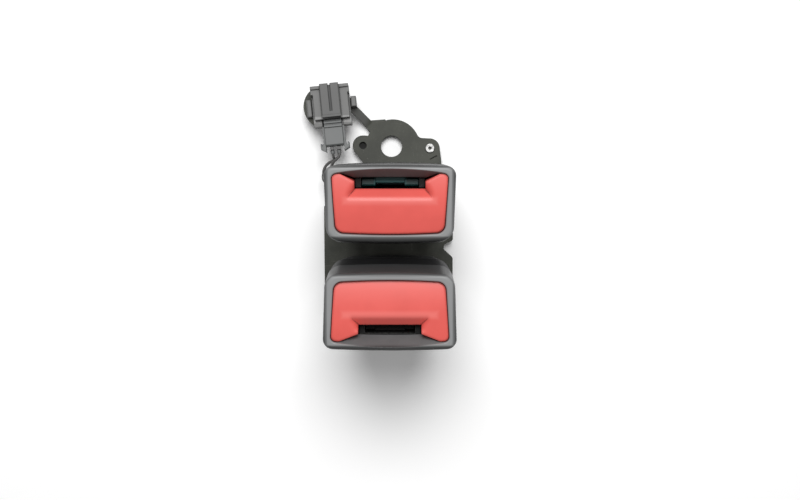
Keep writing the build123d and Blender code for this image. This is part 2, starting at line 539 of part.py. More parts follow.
def web_outline():
    """Flat part under the heads, with shoulders beside the neck and a relief in its right edge."""
    top = BEND_Y + PLATE_T
    body = polygon([
        (NECK_LEFT, top), (NECK_LEFT, BEND_Y - 4), (WEB_LEFT, WEB_SHOULDER), (WEB_LEFT, WEB_END),
        (WEB_RIGHT, WEB_END), (WEB_RIGHT, BEND_Y - 9), (NECK_RIGHT, BEND_Y - 3), (NECK_RIGHT, top),
    ])
    body = fillet(body.vertices().group_by(Axis.Y)[0], WEB_CORNER_R)
    relief = polygon([
        (WEB_RIGHT + 1, RELIEF_Y - RELIEF_H / 2), (WEB_RIGHT - RELIEF_DEPTH, RELIEF_Y),
        (WEB_RIGHT - RELIEF_DEPTH, RELIEF_Y + RELIEF_H / 4), (WEB_RIGHT + 1, RELIEF_Y + RELIEF_H / 2),
    ])
    body -= relief
    return fillet(body.vertices().filter_by(lambda c: abs(c.Y - RELIEF_Y) < RELIEF_H / 2), RELIEF_R)


def base_plate():
    tilt = radians(ANCHOR_TILT)
    reach = 2 * EYE_R
    run = [(WEB_END - 1, WEB_Z), (BEND_Y, WEB_Z), (reach * cos(tilt), -reach * sin(tilt))]
    side_view = folded(run, PLATE_T, BEND_R)
    blank = across(side_view, -2 * WEB_LEFT)
    beyond = span_box((WEB_LEFT - 9, WEB_RIGHT + 9), (BEND_Y, 2 * reach), (-reach, reach))
    anchor = ANCHOR * extrude(Pos(0, 0, -PLATE_T) * anchor_outline(), amount=3 * PLATE_T)
    web = extrude(Pos(0, 0, -PLATE_T) * web_outline(), amount=4 * PLATE_T)
    body = (blank & (anchor & beyond)) + (blank & (web - beyond))
    body += ANCHOR * (arm_and_paddle() + rod((BOSS_X, BOSS_Y, -BOSS_H), (0, 0, 1), BOSS_R, BOSS_H))
    body -= ANCHOR * rod((0, 0, -1), (0, 0, 1), HOLE_D / 2, PLATE_T + 2)
    body -= ANCHOR * rod((BOSS_X, BOSS_Y, PLATE_T - BOSS_H), (0, 0, 1), BOSS_RECESS_R, BOSS_H + 1)
    body -= ANCHOR * rod((PIN_X, PIN_Y, -1), (0, 0, 1), PIN_SHANK_R + RIVET_GAP, PLATE_T + 2)
    body -= ANCHOR * Location((SLIT_X, SLIT_Y, PLATE_T), (0, 0, SLIT_ANGLE)) * Box(SLIT_L, SLIT_W, 2 * SLIT_DEPTH)
    for head in HEADS:
        for u in (-LUG_RIVET_U, LUG_RIVET_U):
            hole = rod((u, LUG_RIVET_V, head.plate_w + 1), (0, 0, -1), RIVET_R + RIVET_GAP, PLATE_T + 2)
            body -= head.place * hole
    return body


def arm_and_paddle():
    """Narrow arm that steps up from the anchor end to a round paddle with the connector's peg hole."""
    run = [(-6, 0), (0, 0), (ARM_RUN, ARM_RISE), (ARM_RUN + 8, ARM_RISE)]
    profile = folded(run, PLATE_T, 1.5)
    strip = across(profile, ARM_W / 2)
    strip = Pos(ARM_X, ARM_Y, 0) * Rot(0, 0, ARM_ANGLE - 90) * strip
    paddle = rod((PADDLE_X, PADDLE_Y, ARM_RISE), (0, 0, 1), PADDLE_R, PLATE_T)
    return strip + paddle - rod((PADDLE_X, PADDLE_Y, ARM_RISE - 1), (0, 0, 1), PEG_HOLE_R, PLATE_T + 2)


# Belt switch and connector

def belt_switch(head):
    left = (-head.outer - SWITCH_T, -head.outer)
    body = span_box(left, (SWITCH_V, SWITCH_V + SWITCH_D), (SWITCH_TOP - SWITCH_H, SWITCH_TOP))
    outer = body.edges().filter_by(Axis.Z).group_by(Axis.X)[0]
    body = fillet(outer, 1.0)
    nib = (left[0] + 1.2, left[1] - 1.2)
    return body + span_box(nib, (SWITCH_V + 3, SWITCH_V + 6), (SWITCH_TOP - 1, SWITCH_TOP + 1.2))


def wire_ends():
    """Where the two wires enter the switch, in the head's u and v."""
    u = -HEADS[0].outer - SWITCH_T / 2
    return [(u, SWITCH_V + SWITCH_D / 2 + side * TWIST_R) for side in (-1, 1)]


def clip_tab(side, y, height):
    """Tab that stands up from the clip on one side of the socket."""
    inner = SOCKET_W / 2 + CLIP_GAP
    outer = inner + CLIP_TAB_W
    tab = span_box(sorted((side * (CLIP_W / 2 - 1), side * outer)), y, (0, CLIP_T))
    tab += span_box(sorted((side * inner, side * outer)), y, (0, height))
    return fillet(tab.edges().filter_by(Axis.Y).group_by(Axis.Z)[-1], CLIP_T / 2)


def connector_clip():
    """Plate under the socket with a tab each side and a barbed peg through the paddle."""
    base = span_box((-CLIP_W / 2, CLIP_W / 2), (-CLIP_L / 2, CLIP_L / 2), (0, CLIP_T))
    tabs = clip_tab(1, (-CLIP_TAB_L / 2, CLIP_TAB_L / 2), CLIP_TAB_H) + clip_tab(-1, CLIP_REST_Y, CLIP_REST_H)
    centre = CONNECTOR.inverse() * ANCHOR * Location((PADDLE_X, PADDLE_Y, ARM_Z))
    x, y = centre.position.X, centre.position.Y
    peg = rod((x, y, 0.5), (0, 0, -1), PEG_HOLE_R - 0.3, PLATE_T + 1.0)
    barb = rod((x, y, -PLATE_T - 0.3), (0, 0, -1), PEG_HOLE_R + 0.7, 1.4)
    barb = chamfer(barb.edges().group_by(Axis.Z)[0], 0.9)
    return base + tabs + peg + barb


def plug_box(grow, back, front):
    """Box of the plug's section, grown by a gap, between two places along the connector."""
    half, low = PLUG_W / 2 + grow, CLIP_T + PLUG_FLOOR
    return span_box((-half, half), (back, front), (low - grow, low + PLUG_H + grow))


def connector_housing():
    """Socket body: two stepped wings, a raised core under the tongue, two ears beside the plug's mouth."""
    half, back, front = SOCKET_W / 2, -SOCKET_L / 2, SOCKET_L / 2
    top = CLIP_T + SOCKET_H
    body = span_box((-half, half), (back, front), (CLIP_T, top))
    body -= span_box((-half - 1, 1.1 - half), (back - 1, front / 2), (CLIP_T + SOCKET_H / 2, top + 1))
    body -= span_box((half - 0.8, half + 1), (back - 1, front / 2), (CLIP_T + SOCKET_H / 2, top + 1))
    core = SOCKET_CORE_W / 2
    body += span_box((-core, core), (back, front), (top - 1, top + CORE_RISE))
    body += span_box((-half, half), (front - LEDGE_L, front), (top - 1, top + LEDGE_RISE))
    for side in (-1, 1):
        ear_u = sorted((side * (core + 0.3), side * (core + 0.3 + EAR_W)))
        body += span_box(ear_u, (back - EAR_L, back + 1), (CLIP_T, CLIP_T + EAR_H))
    body = chamfer(body.edges().filter_by(Axis.Y).group_by(Axis.Z)[-1], 0.5)
    return body - plug_box(PLUG_GAP, back - 1, back + PLUG_NOSE_L + PLUG_GAP)


def connector_latch():
    """Sprung tongue on the core, slit along the middle, with a cross rib at its free end."""
    base = CLIP_T + SOCKET_H + CORE_RISE
    front = SOCKET_L / 2 + 0.6
    body = span_box((-TONGUE_W / 2, TONGUE_W / 2), (front - TONGUE_L, front), (base, base + TONGUE_T))
    slit = (-TONGUE_SLIT_W / 2, TONGUE_SLIT_W / 2)
    body -= span_box(slit, (front - TONGUE_SLIT_L, front + 1), (base - 1, base + TONGUE_T + 1))
    body = fillet(body.edges().filter_by(Axis.Y).group_by(Axis.Z)[-1], 0.4)
    rib_y = (front - TONGUE_L, front - TONGUE_L + TONGUE_RIB_L)
    return body + span_box((-TONGUE_W / 2, TONGUE_W / 2), rib_y, (base, base + TONGUE_RIB_H))


def plug_housing():
    back = -SOCKET_L / 2
    body = plug_box(0, back - PLUG_L, back + PLUG_NOSE_L)
    top = CLIP_T + PLUG_FLOOR + PLUG_H
    for y in (back - 1.8, back - 3.8):
        body += span_box((-PLUG_W / 2, PLUG_W / 2), (y - 0.5, y + 0.5), (top - 1, top + 0.8))
    body = chamfer(body.edges().filter_by(Axis.X).group_by(Axis.Y)[0], 0.6)
    low = CLIP_T + PLUG_FLOOR + PLUG_H / 2
    for x in (-TERMINAL_PITCH / 2, TERMINAL_PITCH / 2):
        half = TERMINAL_W / 2 + RIVET_GAP
        bore_y = (back - PLUG_L - 1, back - PLUG_L + TERMINAL_DEPTH)
        body -= span_box((x - half, x + half), bore_y, (low - half, low + half))
    return body


def plug_lock():
    """Strap under the plug with an arm up each side, which ends in a hook that flares outward."""
    back = -SOCKET_L / 2 - EAR_L - 0.3
    inner, outer = PLUG_W / 2 + RIVET_GAP, PLUG_W / 2 + RIVET_GAP + HOOK_T
    low = CLIP_T + PLUG_FLOOR
    right = polygon([
        (inner, back), (outer, back), (outer, back - HOOK_L + 3), (outer + HOOK_REACH, back - HOOK_L + 1.2),
        (outer + HOOK_REACH, back - HOOK_L + 2.8), (outer + HOOK_REACH + 0.7, back - HOOK_L + 2.8),
        (outer + HOOK_REACH + 0.7, back - HOOK_L), (inner, back - HOOK_L - 1.5),
    ])
    arms = extrude(Pos(0, 0, low - HOOK_T) * (right + mirror(right, Plane.YZ)), amount=HOOK_T + PLUG_H * 0.8)
    strap = span_box((-outer, outer), (back - 5, back), (low - HOOK_T - RIVET_GAP, low - RIVET_GAP))
    return arms + strap


def plug_terminals():
    low = CLIP_T + PLUG_FLOOR + PLUG_H / 2
    back = -SOCKET_L / 2 - PLUG_L
    half = TERMINAL_W / 2
    ends = []
    for x in (-TERMINAL_PITCH / 2, TERMINAL_PITCH / 2):
        body = span_box((x - half, x + half), (back - TERMINAL_L, back + TERMINAL_DEPTH), (low - half, low + half))
        ends.append(chamfer(body.edges().filter_by(Axis.X).group_by(Axis.Y)[0], 0.4))
    return ends


def terminal_end(side):
    """Middle of the face where a wire leaves its terminal."""
    y = -SOCKET_L / 2 - PLUG_L - TERMINAL_L
    return CONNECTOR * Pos(side * TERMINAL_PITCH / 2, y, CLIP_T + PLUG_FLOOR + PLUG_H / 2)


def twist(before, place, after, turn):
    """Point beside the middle line, at an angle about the line's own direction."""
    along = (Vector(*after) - Vector(*before)).normalized()
    side = along.cross(Vector(0, 0, 1)).normalized()
    return Vector(*place) + side * (TWIST_R * cos(turn)) + side.cross(along) * (TWIST_R * sin(turn))


def wire_points():
    """Routes of the two wires: twisted from the plug to the near head, then up to the switch."""
    switch_z = NEAR_FACE_Z + SWITCH_TOP - SWITCH_H
    routes = []
    for side, (end_u, end_v) in zip((-1, 1), wire_ends()):
        leave = (terminal_end(side) * Pos(0, -WIRE_LEAD, 0)).position
        points = [tuple(terminal_end(side).position), tuple(leave)]
        for i in range(1, len(WIRE_RUN) - 1):
            turn = radians(TWIST_STEP * i + (0 if side > 0 else 180))
            points.append(tuple(twist(*WIRE_RUN[i - 1:i + 2], turn)))
        x, y, z = WIRE_RUN[-1]
        points.append((x, y + side * TWIST_R, z))
        points.append((end_u, NEAR_Y + end_v, COVER_FOOT_Z - WIRE_LEAD))
        points.append((end_u, NEAR_Y + end_v, switch_z))
        routes.append(points)
    return routes


def wire(points):
    """Round tube along straight runs, joined by arcs as large as the shorter run at each corner allows."""
    places = [Vector(*p) for p in points]
    radii = []
    for a, b, c in zip(places, places[1:], places[2:]):
        shorter = min((b - a).length, (c - b).length)
        half_turn = radians((b - a).get_angle(c - b)) / 2
        radii.append(0.45 * shorter / tan(half_turn))
    path = FilletPolyline(*places, radius=radii)
    return sweep(Plane(origin=path @ 0, z_dir=path % 0) * Circle(WIRE_R), path=path)


# Assembly

PER_HEAD = {
    "bezel": bezel, "slot_shell": slot_shell, "button_shell": button_shell, "press_button": press_button,
    "release_bar": release_bar, "button_springs": button_springs, "frame": frame, "latch_plate": latch_plate,
    "latch_pin": latch_pin, "ejector": ejector, "ejector_spring": ejector_spring,
    "frame_rivets": frame_rivets, "lug_bracket": lug_bracket,
}


def write(name, shape):
    parts = shape if isinstance(shape, list) else [shape]
    solids = [solid for part in parts for solid in part.solids()]
    export_step(Compound(label=name, children=solids), f"parts/{name}.step")


def main():
    os.makedirs("parts", exist_ok=True)
    for head in HEADS:
        for name, make in PER_HEAD.items():
            made = make(head)
            made = made if isinstance(made, list) else [made]
            write(f"{head.name}_{name}", [head.place * part for part in made])
    write("base_plate", base_plate())
    write("lug_rivets", lug_rivets())
    write("locating_pin", locating_pin())
    write("belt_switch", HEADS[0].place * belt_switch(HEADS[0]))
    for name, make in (
        ("connector_clip", connector_clip), ("connector_housing", connector_housing),
        ("connector_latch", connector_latch), ("plug_housing", plug_housing), ("plug_lock", plug_lock),
    ):
        write(name, CONNECTOR * make())
    write("plug_terminals", [CONNECTOR * end for end in plug_terminals()])
    for number, points in enumerate(wire_points(), 1):
        write(f"switch_wire_{number}", wire(points))


main()
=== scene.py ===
import json
from math import cos, pi, radians, sin

import bpy
from mathutils import Euler, Matrix, Vector


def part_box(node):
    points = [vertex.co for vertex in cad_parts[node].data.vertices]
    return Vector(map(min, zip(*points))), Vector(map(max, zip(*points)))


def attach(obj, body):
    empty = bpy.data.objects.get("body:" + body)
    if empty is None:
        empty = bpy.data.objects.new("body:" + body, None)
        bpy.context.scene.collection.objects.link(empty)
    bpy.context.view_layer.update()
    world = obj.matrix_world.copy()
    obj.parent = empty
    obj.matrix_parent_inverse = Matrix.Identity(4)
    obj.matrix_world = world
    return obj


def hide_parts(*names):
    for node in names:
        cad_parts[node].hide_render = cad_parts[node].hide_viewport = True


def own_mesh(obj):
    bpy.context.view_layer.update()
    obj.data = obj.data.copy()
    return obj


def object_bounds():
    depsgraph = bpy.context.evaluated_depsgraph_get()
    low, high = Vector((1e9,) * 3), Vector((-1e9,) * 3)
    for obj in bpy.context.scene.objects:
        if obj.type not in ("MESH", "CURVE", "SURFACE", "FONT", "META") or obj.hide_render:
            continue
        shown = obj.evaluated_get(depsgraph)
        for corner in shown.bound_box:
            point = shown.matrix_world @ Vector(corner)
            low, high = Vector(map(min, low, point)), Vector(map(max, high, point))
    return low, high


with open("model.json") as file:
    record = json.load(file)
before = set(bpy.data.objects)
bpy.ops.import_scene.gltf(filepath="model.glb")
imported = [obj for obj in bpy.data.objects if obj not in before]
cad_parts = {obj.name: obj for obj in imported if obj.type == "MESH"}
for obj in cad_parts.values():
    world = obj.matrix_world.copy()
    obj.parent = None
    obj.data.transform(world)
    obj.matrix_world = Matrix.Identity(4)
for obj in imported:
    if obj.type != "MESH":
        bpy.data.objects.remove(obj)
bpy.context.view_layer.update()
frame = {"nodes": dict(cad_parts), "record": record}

MM = 0.001

# Camera: above the anchor hole, tipped a little towards the heads
CAMERA_PLACE = (4.6 * MM, 13.9 * MM, 571.6 * MM)
CAMERA_TIP = 7.0
LENS = 47.25
SENSOR = 36.0

# Floor under the plate's lowest edge
FLOOR_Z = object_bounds()[0][2] - 0.1 * MM
FLOOR_HALF = 1.6

# Places on the plate's bolt end: the boss's recess, darkened with painted shade, and the locating pin's axis
RECESS, RECESS_R = (-15.4 * MM, 0.8 * MM, 3.4 * MM), 2.0 * MM
PIN_CENTRE = (20.7 * MM, -0.6 * MM, 3.6 * MM)
# Spot on the plate's arm painted paler grey: painted light
LIT_ARM, LIT_ARM_R = (-26.0 * MM, 20.0 * MM, 10.0 * MM), 15.0 * MM

# Places of painted light and shade: the ejectors' links between the prongs and the connector's two ears, painted paler,
# and the slit in its tongue, painted dark
EJECTOR_LINKS = (0.0, -13.6 * MM, 80.2 * MM), (0.0, -80.8 * MM, 93.7 * MM)
CONNECTOR_EARS = (-37.6 * MM, 14.3 * MM, 21.0 * MM), (-23.4 * MM, 15.2 * MM, 21.0 * MM)
EAR_HALF = (3.0 * MM, 1.7 * MM, 0.0)
TONGUE_SLIT, TONGUE_SLIT_HALF = (-31.8 * MM, 26.1 * MM, 21.1 * MM), (0.6 * MM, 7.2 * MM, 0.0)

# Springs: thickness of the round wire, and turns from end to end
SPRING_WIRE_R, SPRING_TURNS = 0.35 * MM, 9.0

# Rims of the two heads, where a highlight and shade are painted: middle of each top, half the size of the top's flat
# and of its inner ridge
NEAR_RIM_TOP, FAR_RIM_TOP = (0.0, -22.7 * MM, 95.5 * MM), (0.0, -70.5 * MM, 109.0 * MM)
RIM_BAND, RIM_RIDGE = (29.2 * MM, 16.0 * MM, 0.0), (28.2 * MM, 15.6 * MM, 0.0)

# Buttons' crests beside the slots, where a paler red is painted as a highlight
CRESTS, CREST_HALF = ((0.0, -22.2 * MM, 94.5 * MM), (0.0, -72.4 * MM, 108.1 * MM)), (21.5 * MM, 1.5 * MM, 0.0)

# Connector on its paddle: place and turn in the plane of the bolt end, and where the wires leave the plug
PLATE_TILT, CONNECTOR_TURN = radians(8.0), radians(5.8)
CONNECTOR_PLACE = (-31.6 * MM, 20.9 * MM, 11.5 * MM)
WIRE_EXIT, WIRE_PITCH = (0.0, -25.0 * MM, 6.7 * MM), 3.4 * MM
SEAL_L, SEAL_R, SEAL_RIBS, SEAL_RIB_DEPTH = 1.6 * MM, 1.1 * MM, 2.0, 0.12

# Light: a soft key over the bolt end, a weak fill from the other side
LAMP_AIM = (0.0, -0.04, 0.05)
KEY_PLACE, KEY_SIZE, KEY_POWER = (0.0, 0.50, 1.10), 0.60, 13.2
FILL_PLACE, FILL_SIZE, FILL_POWER = (0.45, -0.9, 1.0), 1.0, 0.4
WORLD_STRENGTH = 0.31

FLOOR_GREY, FLOOR_SEEN = (0.86, 0.86, 0.86), (1.08, 1.08, 1.08)

# Finishes, linear colours
BEZEL_GREY = (0.142, 0.144, 0.145)
COVER_BLACK = (0.007, 0.007, 0.0075)
BUTTON_RED = (0.715, 0.105, 0.088)
# Paler red for the buttons' crests: a painted highlight
CREST_HIGHLIGHT_RED = (0.760, 0.165, 0.145)
PLATE_GREY = (0.066, 0.068, 0.059)
STEEL_GREY = (0.27, 0.27, 0.265)
ZINC = (0.22, 0.22, 0.215)
COATED_STEEL = (0.014, 0.014, 0.014)
TEAL = (0.006, 0.042, 0.040)
# Paler teal for the ejectors' links: painted light on parts that lie in shade
LINK_LIGHT_TEAL = (0.020, 0.150, 0.150)
# Paler grey for the connector's ears: painted light
EAR_LIGHT_GREY = (0.280, 0.280, 0.275)
CONNECTOR_GREY = (0.128, 0.128, 0.125)
TONGUE_GREY = (0.080, 0.080, 0.078)
PLUG_GREY = (0.122, 0.128, 0.127)
CRIMP_GREY = (0.030, 0.029, 0.028)
WIRE_GREY = (0.085, 0.083, 0.081)
PITTED_STEEL = (0.26, 0.26, 0.24)
RUBBED_STEEL = (0.24, 0.24, 0.225)
SCRATCHED_STEEL = (0.30, 0.30, 0.28)
# Paler grey for the plate's arm: painted light
ARM_LIGHT_GREY = (0.130, 0.131, 0.126)
# Near black for the locating pin's middle: painted shade
PIN_MIDDLE_SHADE = (0.03, 0.03, 0.028)
# Near black for the boss's recess: painted shade
RECESS_SHADE = (0.006, 0.006, 0.006)
# Near black for the slit in the connector's tongue: painted shade
SLIT_SHADE = (0.004, 0.004, 0.004)
PAINTED_SHADE_SHARE = 0.12  # what is left of a colour under painted shade


# Shader groups

def new_group(name, inputs, outputs, kind_of_tree="ShaderNodeTree"):
    """Node group with named inputs and outputs, and the nodes that carry them."""
    group = bpy.data.node_groups.new(name, kind_of_tree)
    for label, kind, value in inputs:
        socket = group.interface.new_socket(label, in_out="INPUT", socket_type=kind)
        if value is not None:
            socket.default_value = value
    for label, kind in outputs:
        group.interface.new_socket(label, in_out="OUTPUT", socket_type=kind)
    return group, group.nodes.new("NodeGroupInput"), group.nodes.new("NodeGroupOutput")


def add(tree, kind, **settings):
    """New node with its properties and its inputs set. An input given as a socket is linked."""
    node = tree.nodes.new(kind)
    for key, value in settings.items():
        if key == "inputs":
            for name, given in value.items():
                target = node.inputs[name]
                if isinstance(given, bpy.types.NodeSocket):
                    tree.links.new(given, target)
                else:
                    target.default_value = given
        else:
            setattr(node, key, value)
    return node


def calc(tree, operation, first, second=0.0):
    """Output of a math node."""
    node = add(tree, "ShaderNodeMath", operation=operation, inputs={0: first, 1: second})
    return node.outputs[0]


def ramp(tree, value, low, high):
    """Value mapped from low..high to 0..1, smoothed."""
    node = add(tree, "ShaderNodeMapRange", interpolation_type="SMOOTHSTEP",
               inputs={"Value": value, "From Min": low, "From Max": high})
    return node.outputs["Result"]


def noise(tree, scale, detail=3.0, rough=0.55, distortion=0.0, vector=None):
    coords = vector or add(tree, "ShaderNodeTexCoord").outputs["Object"]
    node = add(tree, "ShaderNodeTexNoise", inputs={
        "Vector": coords, "Scale": scale, "Detail": detail, "Roughness": rough, "Distortion": distortion})
    return node.outputs["Fac"]


def mix_colour(tree, share, first, second, blend="MIX"):
    node = add(tree, "ShaderNodeMix", data_type="RGBA", blend_type=blend)
    for socket, given in ((node.inputs[0], share), (node.inputs[6], first), (node.inputs[7], second)):
        if isinstance(given, bpy.types.NodeSocket):
            tree.links.new(given, socket)
        elif socket.type == "RGBA":
            socket.default_value = (*given, 1.0)
        else:
            socket.default_value = given
    return node.outputs[2]


def shade(colour, share, lift=0.0):
    """Colour made lighter or darker, and never past white."""
    return tuple(min(1.0, c * share + lift) for c in colour)


def edge_group():
    """Mask of the outside edges within a radius, broken up by noise, for worn or bright edges."""
    group, given, out = new_group("rubbed_edges", [
        ("Radius", "NodeSocketFloat", 0.4 * MM), ("Break", "NodeSocketFloat", 900.0),
    ], [("Mask", "NodeSocketFloat"), ("Normal", "NodeSocketVector")])
    bevel = add(group, "ShaderNodeBevel", samples=4, inputs={"Radius": given.outputs["Radius"]})
    facing = add(group, "ShaderNodeNewGeometry")
    dot = add(group, "ShaderNodeVectorMath", operation="DOT_PRODUCT",
              inputs={0: bevel.outputs["Normal"], 1: facing.outputs["Normal"]})
    bent = ramp(group, calc(group, "SUBTRACT", 1.0, dot.outputs["Value"]), 0.02, 0.22)
    broken = ramp(group, noise(group, given.outputs["Break"], 2.0), 0.35, 0.62)
    group.links.new(calc(group, "MULTIPLY", bent, broken), out.inputs["Mask"])
    group.links.new(bevel.outputs["Normal"], out.inputs["Normal"])
    return group


def grain_group():
    """Height of a moulded grain: fine leather-like cells over a slow waviness."""
    group, given, out = new_group("moulded_grain", [
        ("Cells", "NodeSocketFloat", 2600.0), ("Wave", "NodeSocketFloat", 90.0),
    ], [("Height", "NodeSocketFloat"), ("Mottle", "NodeSocketFloat")])
    coords = add(group, "ShaderNodeTexCoord").outputs["Object"]
    cells = add(group, "ShaderNodeTexVoronoi", feature="SMOOTH_F1",
                inputs={"Vector": coords, "Scale": given.outputs["Cells"], "Smoothness": 0.6})
    wave = noise(group, given.outputs["Wave"], 2.0, vector=coords)
    height = calc(group, "ADD", cells.outputs["Distance"], calc(group, "MULTIPLY", wave, 0.35))
    group.links.new(height, out.inputs["Height"])
    group.links.new(wave, out.inputs["Mottle"])
    return group


def scratch_group():
    """Mask of fine scratches and scuffs, in two crossing directions."""
    group, given, out = new_group("scuffs", [
        ("Amount", "NodeSocketFloat", 0.5), ("Length", "NodeSocketFloat", 60.0),
    ], [("Mask", "NodeSocketFloat")])
    coords = add(group, "ShaderNodeTexCoord").outputs["Object"]
    masks = []
    for angle, stretch in ((24.0, (1.0, 22.0, 6.0)), (-61.0, (20.0, 1.0, 5.0))):
        turned = add(group, "ShaderNodeMapping", inputs={
            "Vector": coords, "Rotation": (0.0, 0.0, radians(angle)), "Scale": stretch})
        lines = noise(group, given.outputs["Length"], 4.0, 0.7, 0.4, vector=turned.outputs["Vector"])
        masks.append(ramp(group, lines, 0.63, 0.72))
    both = calc(group, "MAXIMUM", masks[0], masks[1])
    patch = ramp(group, noise(group, 45.0, 2.0, vector=coords), 0.42, 0.62)
    group.links.new(calc(group, "MULTIPLY", calc(group, "MULTIPLY", both, patch), given.outputs["Amount"]),
                    out.inputs["Mask"])
    return group


def round_group():
    """Mask of an upright round spot, and the turning rings about its axis."""
    group, given, out = new_group("round_spot", [
        ("Centre", "NodeSocketVector", None), ("Radius", "NodeSocketFloat", 2.0 * MM),
        ("Ring Pitch", "NodeSocketFloat", 0.35 * MM),
    ], [("Mask", "NodeSocketFloat"), ("Rings", "NodeSocketFloat")])
    coords = add(group, "ShaderNodeTexCoord").outputs["Object"]
    offset = add(group, "ShaderNodeVectorMath", operation="SUBTRACT",
                 inputs={0: coords, 1: given.outputs["Centre"]}).outputs["Vector"]
    flat = add(group, "ShaderNodeVectorMath", operation="MULTIPLY", inputs={0: offset, 1: (1.0, 1.0, 0.0)})
    distance = add(group, "ShaderNodeVectorMath", operation="LENGTH", inputs={0: flat.outputs["Vector"]})
    share = calc(group, "DIVIDE", distance.outputs["Value"], given.outputs["Radius"])
    group.links.new(calc(group, "SUBTRACT", 1.0, ramp(group, share, 0.85, 1.1)), out.inputs["Mask"])
    turns = calc(group, "DIVIDE", distance.outputs["Value"], given.outputs["Ring Pitch"])
    group.links.new(calc(group, "SINE", calc(group, "MULTIPLY", turns, 2 * pi)), out.inputs["Rings"])
    return group


def box_group():
    """Mask of an upright box with soft sides, turned about its middle, and the height above its centre."""
    group, given, out = new_group("soft_box", [
        ("Centre", "NodeSocketVector", None), ("Half Size", "NodeSocketVector", None),
        ("Fade", "NodeSocketFloat", 1.0 * MM), ("Turn", "NodeSocketFloat", 0.0),
    ], [("Mask", "NodeSocketFloat"), ("Height", "NodeSocketFloat")])
    coords = add(group, "ShaderNodeTexCoord").outputs["Object"]
    offset = add(group, "ShaderNodeVectorMath", operation="SUBTRACT",
                 inputs={0: coords, 1: given.outputs["Centre"]}).outputs["Vector"]
    turned = add(group, "ShaderNodeVectorRotate", rotation_type="Z_AXIS", inputs={
        "Vector": offset, "Angle": calc(group, "MULTIPLY", given.outputs["Turn"], -1.0)}).outputs["Vector"]
    apart = add(group, "ShaderNodeVectorMath", operation="ABSOLUTE", inputs={0: turned}).outputs["Vector"]
    beyond = add(group, "ShaderNodeVectorMath", operation="SUBTRACT",
                 inputs={0: apart, 1: given.outputs["Half Size"]}).outputs["Vector"]
    sides = add(group, "ShaderNodeSeparateXYZ", inputs={"Vector": beyond}).outputs
    share = calc(group, "DIVIDE", calc(group, "MAXIMUM", sides["X"], sides["Y"]), given.outputs["Fade"])
    group.links.new(calc(group, "SUBTRACT", 1.0, ramp(group, share, -1.0, 1.0)), out.inputs["Mask"])
    height = add(group, "ShaderNodeSeparateXYZ", inputs={"Vector": offset}).outputs["Z"]
    group.links.new(height, out.inputs["Height"])
    return group


EDGES, GRAIN, SCUFFS, SPOT, BOX = edge_group(), grain_group(), scratch_group(), round_group(), box_group()


# Materials

def new_material(name):
    material = bpy.data.materials.new(name)
    material.use_nodes = True
    return material, material.node_tree, material.node_tree.nodes["Principled BSDF"]


def use_group(tree, group, **inputs):
    node = add(tree, "ShaderNodeGroup", node_tree=group)
    for name, value in inputs.items():
        node.inputs[name.replace("_", " ")].default_value = value
    return node


def set_inputs(tree, shader, **inputs):
    for name, value in inputs.items():
        socket = shader.inputs[name.replace("_", " ")]
        if isinstance(value, bpy.types.NodeSocket):
            tree.links.new(value, socket)
        else:
            socket.default_value = value


def bump(tree, height, strength, distance, normal=None):
    inputs = {"Height": height, "Strength": strength, "Distance": distance}
    if normal is not None:
        inputs["Normal"] = normal
    return add(tree, "ShaderNodeBump", inputs=inputs).outputs["Normal"]


def with_marks(tree, colour, marks):
    """Colour with marks laid over it, each a shape's group, its inputs, a colour and its strength."""
    for group, values, tone, strength in marks:
        mask = use_group(tree, group, **values).outputs["Mask"]
        colour = mix_colour(tree, calc(tree, "MULTIPLY", mask, strength), colour, tone)
    return colour


def rim_light_and_shade(tree, body, colour, top):
    """Rim, given by the middle of its top: a painted highlight on its inner ridge, and painted shade on the outer side
    beyond the top's flat.
    """
    band = use_group(tree, BOX, Centre=top, Half_Size=RIM_BAND, Fade=0.75 * MM)
    # Painted shade: the rim's outer side, beyond the top's flat, darkened
    outer = calc(tree, "MULTIPLY", calc(tree, "SUBTRACT", 1.0, band.outputs["Mask"]), 0.82)
    body = mix_colour(tree, outer, body, shade(colour, PAINTED_SHADE_SHARE))
    ridge = use_group(tree, BOX, Centre=top, Half_Size=RIM_RIDGE, Fade=0.3 * MM).outputs
    # Painted highlight: the inner ridge, near the top, made paler
    ridge_highlight = calc(tree, "MULTIPLY", ridge["Mask"], ramp(tree, ridge["Height"], -0.8 * MM, -0.3 * MM))
    return mix_colour(tree, calc(tree, "MULTIPLY", ridge_highlight, 0.8), body, shade(colour, 1.8))


